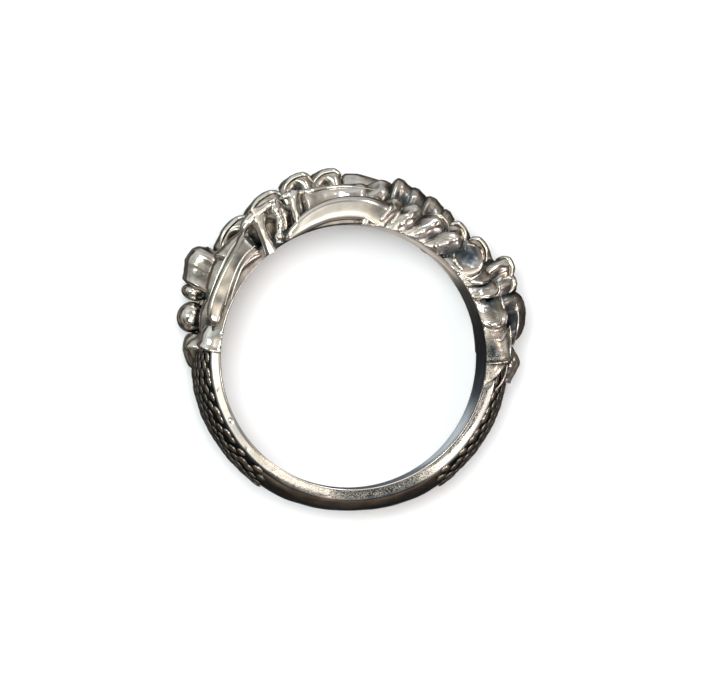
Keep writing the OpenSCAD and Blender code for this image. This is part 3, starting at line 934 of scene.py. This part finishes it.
sweep = wire_tree()
rims = [grow(foot + "_rims", guide_lines(foot + "_lines", lines), sweep,
             {"Thickness factor": 1.0, "Sides": wire_sides}) for foot, lines in wires.items()]
print("rims:", [len(r.data.polygons) for r in rims], "faces")

# %% [markdown]
# ## Back scales
# Small pointed scales cover the outside of the band between each foot and the plain stretch at the back.
# There are a few hundred of them, so one lozenge is made and set on a lattice of points. The points come
# from a low mesh that knows which way is out and which way runs along the band, and Geometry Nodes turn
# each scale to fit and vary its size a little.

# %% Geometry Nodes for the back scales
top_share = 0.55    # width of a lozenge's flat top as a share of its foot


def scale_tree():
    """Geometry Nodes that set a lozenge on each point, turned by the attributes out and along."""
    tree, given = new_tree("back_scales", [
        ("Length", "Float"), ("Width", "Float"), ("Thickness", "Float"), ("Spread", "Float"),
        ("Seed", "Int")])
    lozenge = add_node(tree, "GeometryNodeMeshCone", {
        "Vertices": 4, "Side Segments": 2, "Radius Top": top_share, "Radius Bottom": 1.0, "Depth": 1.0})
    soft = add_node(tree, "GeometryNodeSubdivisionSurface", {"Mesh": lozenge.outputs["Mesh"], "Level": 1})
    out, along = (add_node(tree, "GeometryNodeInputNamedAttribute", {"Name": name}, data_type="FLOAT_VECTOR")
                  for name in ("out", "along"))
    up = add_node(tree, "FunctionNodeAlignRotationToVector", {"Vector": out.outputs["Attribute"]}, axis="Z")
    turned = add_node(tree, "FunctionNodeAlignRotationToVector", {
        "Rotation": up.outputs["Rotation"], "Vector": along.outputs["Attribute"]}, axis="X", pivot_axis="Z")
    low, high = (add_node(tree, "ShaderNodeMath", {0: 1.0, 1: given["Spread"]}, operation=operation)
                 for operation in ("SUBTRACT", "ADD"))
    # Min and Max of a random number are inputs 2 and 3, and its value is output 1
    size = add_node(tree, "FunctionNodeRandomValue", {
        "Seed": given["Seed"], 2: low.outputs["Value"], 3: high.outputs["Value"]}, data_type="FLOAT")
    box = add_node(tree, "ShaderNodeCombineXYZ", {
        "X": given["Length"], "Y": given["Width"], "Z": given["Thickness"]})
    sized = add_node(tree, "ShaderNodeVectorMath", {
        0: box.outputs["Vector"], "Scale": size.outputs[1]}, operation="SCALE")
    placed = add_node(tree, "GeometryNodeInstanceOnPoints", {
        "Points": given["Geometry"], "Instance": soft.outputs["Mesh"],
        "Rotation": turned.outputs["Rotation"], "Scale": sized.outputs["Vector"]})
    return close_tree(tree, placed.outputs["Instances"])


scales_on_points = scale_tree()
print(scales_on_points.name, "has", len(scales_on_points.nodes), "nodes")

# %% The lattice of back scales
scale_pitch = 1.2          # millimetres from one row of scales to the next, along the band
scale_half_pitch = 0.5     # about half the distance between two scales of one row
scale_margin = 0.12        # distance of the outermost scales from the band's edge
scaled_from, scaled_to = -53, 4    # first and last angle of the scales, on the right-hand half
usual_height = 1.5         # height at which the distance between rows is measured
near_by_angle, near_by_mm = 0.5, 0.05    # how far off the neighbours lie that show which way is out


def scale_guide():
    """Points on the band's outside, with the way out and the way along the band at each."""
    places, outs, alongs = [], [], []
    step = math.degrees(scale_pitch / 2 / (hole_r + usual_height))
    for mirrored in (False, True):
        for k, angle in enumerate(np.arange(scaled_from, scaled_to, step)):
            reach = float(band_half(angle)) - scale_margin
            count = round(reach / scale_half_pitch)
            for j in range(-count, count + 1):
                if (j + k) % 2:
                    continue
                turn = 180 - angle if mirrored else angle
                across = j * reach / count
                at = place(turn, band_height(turn, across), across)
                ahead, aside = (
                    place(turn + t, band_height(turn + t, across + a), across + a) - at
                    for t, a in ((near_by_angle, 0), (0, near_by_mm)))
                places.append(at * MM)
                outs.append(np.cross(ahead, aside))
                alongs.append(ahead)
    mesh = bpy.data.meshes.new("scale_lattice")
    mesh.from_pydata([tuple(p) for p in places], [], [])
    for name, values in (("out", outs), ("along", alongs)):
        layer = mesh.attributes.new(name, "FLOAT_VECTOR", "POINT")
        layer.data.foreach_set("vector", np.ravel(values).astype(np.float32))
    return mesh


back_scales = grow("back_scales", scale_guide(), scales_on_points, {
    "Length": 0.82 * MM, "Width": 0.48 * MM, "Thickness": 0.17 * MM, "Spread": 0.14, "Seed": 4})
print("back scales:", len(back_scales.data.polygons), "faces")

# %% [markdown]
# ## The camera
# The ring was photographed from above, looking along the finger. Each number here was read off the photo:
# the pixel in the middle of the hole's near edge, the hole's width in pixels, and the lean, which is how
# far the hole's far edge is shifted against its near edge. A long lens keeps that shift small.

# %% The camera
image_w, image_h = 701, 700
photo_centre = (354.0, 357.5)   # pixel of the middle of the hole's near edge
pixel_mm = 9.5 / 133            # size of a pixel at the near edge of the hole
camera_mm = 500.0
camera_lean = (-0.066, 0.012)   # sideways and upward lean of the line of sight from the hole's axis
sensor_mm = 36


def add_camera():
    aim = Vector(((image_w / 2 - photo_centre[0]) * pixel_mm,
                  (photo_centre[1] - image_h / 2) * pixel_mm, 2 * half_depth)) * MM
    back = Vector((*camera_lean, 1)).normalized()
    right = Vector((0, 1, 0)).cross(back).normalized()
    data = bpy.data.cameras.new("photo_camera")
    data.sensor_width = sensor_mm
    data.lens = sensor_mm * camera_mm / (image_w * pixel_mm)
    data.clip_end = 10
    camera = new_object("photo_camera", data)
    turn = Matrix((right, back.cross(right), back)).transposed().to_4x4()
    camera.matrix_world = Matrix.Translation(aim + back * camera_mm * MM) @ turn
    bpy.context.scene.camera = camera


add_camera()
print(f"the picture is {image_w * pixel_mm:.1f} mm wide at the near edge")

# %% [markdown]
# ## One casting, one finish
# Band, toes, claws, beads, wires and scales run into each other as one piece of silver, so all of them
# get the one material.

# %% Every piece of silver
metal = [band, near_outer, far_outer, near_middle, far_middle] + small + claws + beads + rims + [back_scales]
for piece in metal:
    if not piece.data.materials:
        piece.data.materials.append(silver)
print(len(metal), "pieces of silver")

# %% [markdown]
# ## Finding the hollows
# A buff can't reach into hollows, so that is where the black stays. How deep in a hollow a point lies shows
# in how much of the space round it is filled with metal: half on a flat face, less on a crest and more in
# a groove. The pieces are dropped into a grid of small cells by casting rays upwards through them, the
# filled cells are blurred, and the blurred grid is read at each vertex.

# %% Filling the grid
cell = 0.12    # size of a cell in millimetres
grid_low = np.array([-13.6, -12.4, -1.4])
grid_size = np.array([27.4, 27.4, 13.0])
past_hit = 1e-3    # the ray starts again this far past a surface it has hit


def filled_cells(pieces):
    """1 in each cell that a piece fills."""
    count = (grid_size / cell).astype(int)
    full = np.zeros(count, np.float32)
    xs, ys = (grid_low[k] + cell * (np.arange(count[k]) + 0.5) for k in (0, 1))
    for piece in pieces:
        mesh = piece.data
        tree = BVHTree.FromPolygons([v.co for v in mesh.vertices], [p.vertices for p in mesh.polygons])
        corner = np.array([v.co for v in mesh.vertices]) / MM
        (x0, y0, _), (x1, y1, _) = corner.min(axis=0), corner.max(axis=0)
        for i in np.nonzero((xs > x0) & (xs < x1))[0]:
            for j in np.nonzero((ys > y0) & (ys < y1))[0]:
                z, start = grid_low[2], None
                while True:
                    hit, normal, _, _ = tree.ray_cast(Vector((xs[i], ys[j], z)) * MM, Vector((0, 0, 1)))
                    if hit is None:
                        break
                    z = hit.z / MM + past_hit
                    if normal.z < 0:
                        start = z
                    elif start is not None:
                        k0, k1 = ((np.array([start, z]) - grid_low[2]) / cell).round().astype(int)
                        full[i, j, k0:k1] = 1
    return full


full = filled_cells(metal)
print(f"{full.sum() * cell ** 3:.0f} cubic millimetres of metal")

# %% Solid share round each point
fine_mm, broad_mm = 0.3, 0.8    # how far round a point the two shares look
fine_part = 0.6                 # how much the closer one counts


def blurred(grid, radius):
    reach = int(3 * radius / cell)
    weight = np.exp(-0.5 * (np.arange(-reach, reach + 1) * cell / radius) ** 2)
    weight /= weight.sum()
    for axis in range(3):
        grid = sum(w * np.roll(grid, k - reach, axis=axis) for k, w in enumerate(weight))
    return grid


def read_grid(grid, points):
    """Grid values at points, blended from the eight cells round each."""
    at = (points - grid_low) / cell - 0.5
    i = np.floor(at).astype(int)
    f = at - i
    total = 0
    for corner in np.ndindex(2, 2, 2):
        c = np.array(corner)
        weight = np.prod(np.where(c, f, 1 - f), axis=1)
        total = total + weight * grid[tuple((i + c).T)]
    return total


fine, broad = blurred(full, fine_mm), blurred(full, broad_mm)


def solid_share(points):
    """How much of the space close to each point is metal."""
    return fine_part * read_grid(fine, points) + (1 - fine_part) * read_grid(broad, points)


print("solid share in the finger hole:", solid_share(np.array([[0, 0, half_depth]])).round(3)[0])

# %% [markdown]
# ## Wear, stains and painted light
# Each kind of piece met the buff in its own way. Claws were polished all over, the near toes kept brown and
# blue-black patches on their plates, and the scales at the back stayed black nearly everywhere. A table
# says at what share of metal the black starts on each piece and where it is full. A second table adds the
# patches that don't follow the hollows, such as the dull half of a plate or a bright spot where a claw
# was rubbed. With them come a painted highlight along each middle toe's shaft and painted shade over the
# near foot's bells behind the folds. A few curves do the same for the plain band, and paint the hole's
# wall lighter where a painted reflection of the white card lies.

# %% Wear of each piece
# Part of a piece's name, share of metal round a point at which the black starts to stay, the share at
# which all of it has stayed, and how black that is. The first row that fits the piece counts
WEAR = table("name bright black most", [
    ("claw", 0.5, 0.7, 0.7), ("rims", 0.46, 0.7, 0.6), ("near_outer", 0.35, 0.6, 0.88),
    ("near_middle", 0.36, 0.62, 0.8), ("far_heel", 0.44, 0.64, 0.8), ("back_scales", 0.1, 0.55, 0.8),
    ("bead", 0.4, 0.85, 0.5), ("far", 0.28, 0.62, 0.75), ("", 0.4, 0.62, 0.8),
])


def worn(piece, points):
    """How much black the buff left at each point."""
    wear = next(w for w in WEAR if w.name in piece.name)
    return grows(solid_share(points), wear.bright, wear.black - wear.bright) * wear.most


def round_the_finger(points):
    """Angle and height of each point."""
    return (np.degrees(np.arctan2(points[:, 1], points[:, 0])),
            np.hypot(points[:, 0], points[:, 1]) - hole_r)


print(len(WEAR), "kinds of wear")

# %% Stains and painted light
# Places where more black was left, or less, by part of the piece's name: angle and height of the piece's
# own foot, size in millimetres, and the change of the black in the middle. A few rows are painted light
# instead, and say so where they stand
STAINS_AND_PAINTED_LIGHT = {
    "near_outer_toe": [
        (7, 0.3, 0.6, 0.4), (3, 0.2, 0.6, 0.5), (-1, 0.4, 0.6, 0.5), (-1, 1.1, 0.5, 0.45),
        (4, 1.5, 0.5, -0.35), (-7.5, 0.4, 0.6, 0.5), (-4, 1.2, 0.4, -0.4), (20, 1.2, 0.8, 0.4),
        (30, 1.3, 0.8, 0.3), (40.5, 1.9, 0.7, 0.6), (41, 1.2, 0.9, 0.25), (66, 0.6, 2.4, -0.1),
    ],
    "near_outer_claw": [(80.5, 1.2, 1.0, 0.6)],
    "outer_claw": [(117.5, 0.6, 0.8, 0.3)],
    "near_middle_toe": [
        # The rows at 63 and 74 degrees are painted shade on the bells behind the folds, and the row at 95 is
        # a painted highlight along the shaft
        (13, 2.8, 2.3, 0.5), (63, 3.3, 2.2, 0.25), (74, 3.4, 1.4, 0.15), (95, 2.6, 1.7, -0.4),
    ],
    "near_rims": [
        (124, 2.9, 0.9, -0.4), (119.5, 2.9, 0.8, -0.3), (111.5, 2.9, 0.9, -0.4), (-20, 0.15, 3.0, 0.4),
    ],
    # The row at 95 degrees is a painted highlight along the shaft
    "far_middle_toe": [(95, 3.7, 1.8, -0.4), (28, 3.8, 0.8, 0.12), (35, 4.2, 0.7, -0.35)],
    "middle_claw": [
        (132.5, 1.4, 0.7, 0.3), (145, 1.2, 4.0, 0.27), (149, 1.2, 2.8, 0.22), (139, 1.3, 0.45, 0.3),
        (142.5, 1.0, 0.4, 0.3), (157, 1.1, 0.4, 0.25), (146, 1.5, 0.5, -0.25), (153, 1.2, 0.4, -0.2),
    ],
    "middle_toe": [(119, 1.5, 2.4, -0.3), (131, 1.5, 0.8, 0.15)],
}


def stain_and_painted_light_change(piece, points):
    """How much the stains, and the painted highlights and painted shade among them, change the black at each
    point.
    """
    angle, height = round_the_finger(points)
    if "far" in piece.name:
        angle = 180 - angle
    total = 0 * angle
    for name, rows in STAINS_AND_PAINTED_LIGHT.items():
        if name in piece.name:
            for spot in table(SPOT, rows):
                total = total + spot.change * spot_share(spot, angle, height, hole_r + height)
    return total


print(sum(len(rows) for rows in STAINS_AND_PAINTED_LIGHT.values()), "stains")

# %% Black and a painted reflection on the band
# How black the hole's wall and the band's two edges are, all round from -180 to 180 degrees. The wall's
# lighter stretch from 40 to 75 degrees is a painted reflection of the white card
HOLE_BLACK_AND_PAINTED_REFLECTION = [(-180, 0.5), (-80, 0.45), (-62, 0.7), (-50, 0.3), (-36, 0.1), (-24, 0.35), (-12, 1.0),
              (28, 1.0), (40, 0.3), (75, 0.2), (100, 0.45), (180, 0.5)]
EDGE_BLACK = [(-180, 0), (-136, 0), (-104, 0.12), (-90, 0.72), (-66, 0.68), (-46, 0), (-2, 0), (8, 0.85),
              (68, 0.85), (80, 0.5), (100, 0.5), (112, 0.85), (126, 0.85), (134, 0.5), (168, 0.6),
              (180, 0.1)]
wall_mm = 0.03                  # the hole's wall ends this high
streak_angle, streak_mm = 16, 1.5    # length and width of the streaks on it, in degrees and millimetres
streak_black = 0.3
bevel_black, dome_black = 0.36, 0.88    # the plain outside, beside the edge face and on the dome
bevel_mm = 0.75                 # how far over the edge face the dome's black is reached
between_scales = 0.9            # black of the ground between the back's scales
dull_black = 0.62               # the strip that the buff missed, beside the hole on the right
left_black, lower_left_black = 0.85, 0.55    # outer rim of the edge face on the left, and lower down


def band_black_and_painted_light(points):
    """The hole is darkest beside the near foot and painted lighter from 40 to 75 degrees as a reflection of
    the white card, the outside is black between scales, the edge is bright.
    """
    turn, height = round_the_finger(points)
    inside = 1 - grows(height, 0, wall_mm)
    outside = grows(height, band_edge - 0.02, 0.1)
    scaled = grows(side_angle(turn), scaled_from, 6)
    streaks = uneven(np.stack([turn / streak_angle, points[:, 2] / streak_mm, 0 * turn], axis=-1), 1.0, 1.9)
    # Darkest beside the near foot, and lighter from 40 to 75 degrees as a painted reflection of the white
    # card
    hole_black_and_painted_reflection = curve(HOLE_BLACK_AND_PAINTED_REFLECTION, turn) + streak_black * streaks
    plain = bevel_black + (dome_black - bevel_black) * grows(height, band_edge + 0.05, bevel_mm)
    outside_black = (1 - scaled) * plain + scaled * between_scales
    # The dull strip starts at -72 degrees, grows wider up to -17 and fades out from 0 to 5
    dull_width = 0.3 + 0.22 * grows(turn, -62, 45)
    dull = dull_black * grows(height, dull_width, -0.08) * grows(turn, 5, -5) * grows(turn, -72, 20)
    # On the left the outer rim of the face is black, and wider and softer below
    left = (turn > 130) + grows(turn, -88, -8)
    lower = grows(turn, -128, 20) * (turn < 0)
    rim = (left_black - (left_black - lower_left_black) * lower) * left
    rim = rim * grows(height, 0.6 - 0.24 * lower, 0.08 + 0.2 * lower)
    # A thin dark line beside the hole, left of -130 degrees
    rim = rim + 0.4 * grows(height, 0.2, -0.06) * grows(turn, -130, -8)
    edge_black = np.maximum(curve(EDGE_BLACK, turn), dull + rim)
    return inside * hole_black_and_painted_reflection + outside * outside_black + (1 - inside) * (1 - outside) * edge_black


print("black on the edge at the head:", curve(EDGE_BLACK, 90.0))

# %% Pits
near_side_mm = 1.5    # the near side starts this far from the middle of the band


def pits_of(piece, points):
    """Where the plaster's grit shows: the shoulder's plates and the near edge of the band at the back."""
    angle, height = round_the_finger(points)
    near = points[:, 2] > half_depth + near_side_mm
    if piece is near_outer:
        return near * (0.4 * grows(angle, 14, -3) + 0.5 * grows(angle, 2, -2))
    if piece is band:
        face = grows(height, band_edge - 0.1, -0.1) * grows(height, 0.02, 0.04)
        back = grows(side_angle(angle), -42, -10)
        right = grows(angle, -50, 10) * grows(height, 0.55, -0.1) * (points[:, 0] > 0)
        return near * face * np.maximum(back, right)
    return 0 * angle


print("grit lies on", near_outer.name, "and", band.name)

# %% Painting the black and the pits
def paint(piece, name, values):
    layer = piece.data.attributes.new(name, "FLOAT", "POINT")
    layer.data.foreach_set("value", np.clip(values, 0, 1).astype(np.float32))


for piece in metal:
    points = np.array([v.co for v in piece.data.vertices]) / MM
    # Black of the oxide, plus the painted highlights, painted shade and painted reflection from the stains
    # and the band's curves
    patina = band_black_and_painted_light(points) if piece is band else worn(piece, points) + stain_and_painted_light_change(piece, points)
    paint(piece, "patina", patina)
    paint(piece, "pits", pits_of(piece, points))
    print(f"{piece.name}: mean patina {np.clip(patina, 0, 1).mean():.2f}")

# %% [markdown]
# ## Floor and light
# The photo is bright: the white card is past what the camera could hold, so only the deepest shadows are
# left on it. Blender's usual view transform would turn such whites grey, so the plain one is chosen.
# Bright metal shows its surroundings more than its own colour, so these are painted into the world: a
# broad white ceiling light, a dim room with tan and grey patches, a few small lamps that give each knob
# its sparkle, and the pale card below. The real card and the light over it are hidden from reflections,
# because the world already stands for both there.

# %% Floor
floor_half = 0.6        # metres
card_colour, card_rough = "#F3F6F8", 0.9
window_mm = (-46, 42, 440)
window_size_mm = 140
window_watts = 1.35


def add_floor():
    corners = [(x * floor_half, y * floor_half, 0) for x, y in ((-1, -1), (1, -1), (1, 1), (-1, 1))]
    mesh = bpy.data.meshes.new("floor")
    mesh.from_pydata(corners, [], [(0, 1, 2, 3)])
    floor = new_object("floor", mesh)
    material = bpy.data.materials.new("white_card")
    material.use_nodes = True
    shader = material.node_tree.nodes["Principled BSDF"]
    for name, value in (("Base Color", linear(card_colour)), ("Roughness", card_rough),
                        ("Specular IOR Level", 0.0)):
        shader.inputs[name].default_value = value
    mesh.materials.append(material)
    floor.visible_glossy = False


def add_window():
    data = bpy.data.lights.new("window", "AREA")
    data.shape = "DISK"
    data.size = window_size_mm * MM
    data.energy = window_watts
    window = new_object("window", data)
    spot = Vector(window_mm) * MM
    window.matrix_world = Matrix.Translation(spot) @ spot.to_track_quat("Z", "Y").to_matrix().to_4x4()
    window.visible_glossy = False


bpy.context.scene.view_settings.view_transform = "Standard"
add_floor()
add_window()
print("window of", window_watts, "W over a white card")

# %% Room and lamps
ROOM = [
    # Height of the direction, from -1 straight down to 1 straight up, and the colour seen there
    (-1.0, "#2E3238"), (-0.93, "#3A3B3D"), (-0.7, "#5E564E"), (-0.2, "#5E5852"), (0.1, "#827B73"),
    (0.35, "#44474B"), (0.6, "#7F7B75"), (0.78, "#45484C"), (0.9, "#9C958C"), (1.0, "#E0DBD2"),
]
# The way to a lamp, how many degrees from its middle it starts to fade and is gone, colour and strength
LAMPS = table("towards inner outer colour strength", [
    ((0.05, 0.05, 1.0), 11, 28, "#FFFDF8", 0.42),
    ((0.05, -0.5, 1.0), 6, 22, "#FBFBFF", 0.6),
    ((0.24, -0.36, 1.0), 5, 12, "#FFFCE6", 0.35),
    ((-0.9, 0.5, 0.6), 12, 40, "#D3E0E2", 0.62),
    ((-0.1, 1.0, 0.3), 15, 50, "#E4E8EC", 0.48),
    ((0.5, -0.6, 0.7), 8, 24, "#A9B6C6", 0.4),
    ((0.8, 0.6, 0.8), 10, 34, "#E9E4DC", 0.5),
    # Patches of the card below, which light the hole's wall
    ((-0.12, 0.3, -1.0), 4, 19, "#9FAAB6", 0.6),
    ((0.01, -0.09, -1.0), 2, 6, "#E2D8CC", 0.8),
    ((-0.05, 0.09, -1.0), 1, 5, "#C4CCD6", 0.7),
    # Warm light from behind, then small lamps that sparkle
    ((0.0, -1.0, 0.05), 12, 38, "#C9A994", 0.2),
    ((-0.35, -0.45, 1.0), 6, 9, "#FFFFFF", 6.0),
    ((0.55, 0.1, 1.0), 6, 9, "#FFE9D8", 6.0),
    ((0.3, 0.75, 1.0), 6, 9, "#EEF4FF", 6.0),
    ((-0.7, 0.25, 1.0), 6, 9, "#F2FFF4", 6.0),
    ((0.75, -0.55, 0.9), 5, 8, "#FFE6EC", 5.0),
])
patch_size = 2.3      # how many patches of light and shade the room has along a radius
patch_contrast = 0.75
print(len(LAMPS), "lamps in the room")

# %% Surroundings
def add_world():
    world = bpy.data.worlds.new("studio")
    bpy.context.scene.world = world
    world.use_nodes = True
    tree = world.node_tree
    background = tree.nodes["Background"]
    direction = add_node(tree, "ShaderNodeTexCoord").outputs["Generated"]
    height = add_node(tree, "ShaderNodeSeparateXYZ", {"Vector": direction}).outputs["Z"]
    level = add_node(tree, "ShaderNodeMapRange", {"Value": height, "From Min": -1.0}).outputs["Result"]
    room = add_node(tree, "ShaderNodeValToRGB", {"Fac": level})
    fill_ramp(room.color_ramp, [((up + 1) / 2, colour) for up, colour in ROOM])
    patches = add_node(tree, "ShaderNodeTexNoise", {"Vector": direction, "Scale": patch_size, "Detail": 1.5})
    shade = add_node(tree, "ShaderNodeMapRange", {
        "Value": patches.outputs["Fac"], "From Min": 0.35, "From Max": 0.65,
        "To Min": 1 - patch_contrast, "To Max": 1 + patch_contrast}).outputs["Result"]
    total = add_node(tree, "ShaderNodeVectorMath", {
        0: room.outputs["Color"], "Scale": shade}, operation="SCALE").outputs["Vector"]
    for lamp in LAMPS:
        near = add_node(tree, "ShaderNodeVectorMath", {
            0: direction, 1: Vector(lamp.towards).normalized()}, operation="DOT_PRODUCT")
        edge = add_node(tree, "ShaderNodeMapRange", {
            "Value": near.outputs["Value"], "From Min": math.cos(math.radians(lamp.outer)),
            "From Max": math.cos(math.radians(lamp.inner)), "To Max": lamp.strength,
        }, interpolation_type="SMOOTHSTEP")
        tint = add_node(tree, "ShaderNodeVectorMath", {
            0: linear(lamp.colour)[:3], "Scale": edge.outputs["Result"]}, operation="SCALE")
        total = add_node(tree, "ShaderNodeVectorMath", {
            0: total, 1: tint.outputs["Vector"]}, operation="ADD").outputs["Vector"]
    tree.links.new(total, background.inputs["Color"])
    background.inputs["Strength"].default_value = 1.0


add_world()
print("world:", bpy.context.scene.world.name)

# %% [markdown]
# ## Handing over
# The ring is one rigid part of the library, so its solid is hidden and every piece rides on the root.

# %% Handing over
for piece in metal:
    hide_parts("claw_ring")
    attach(piece, "root")
print("triangles:", sum(len(p.vertices) - 2 for o in metal for p in o.data.polygons))
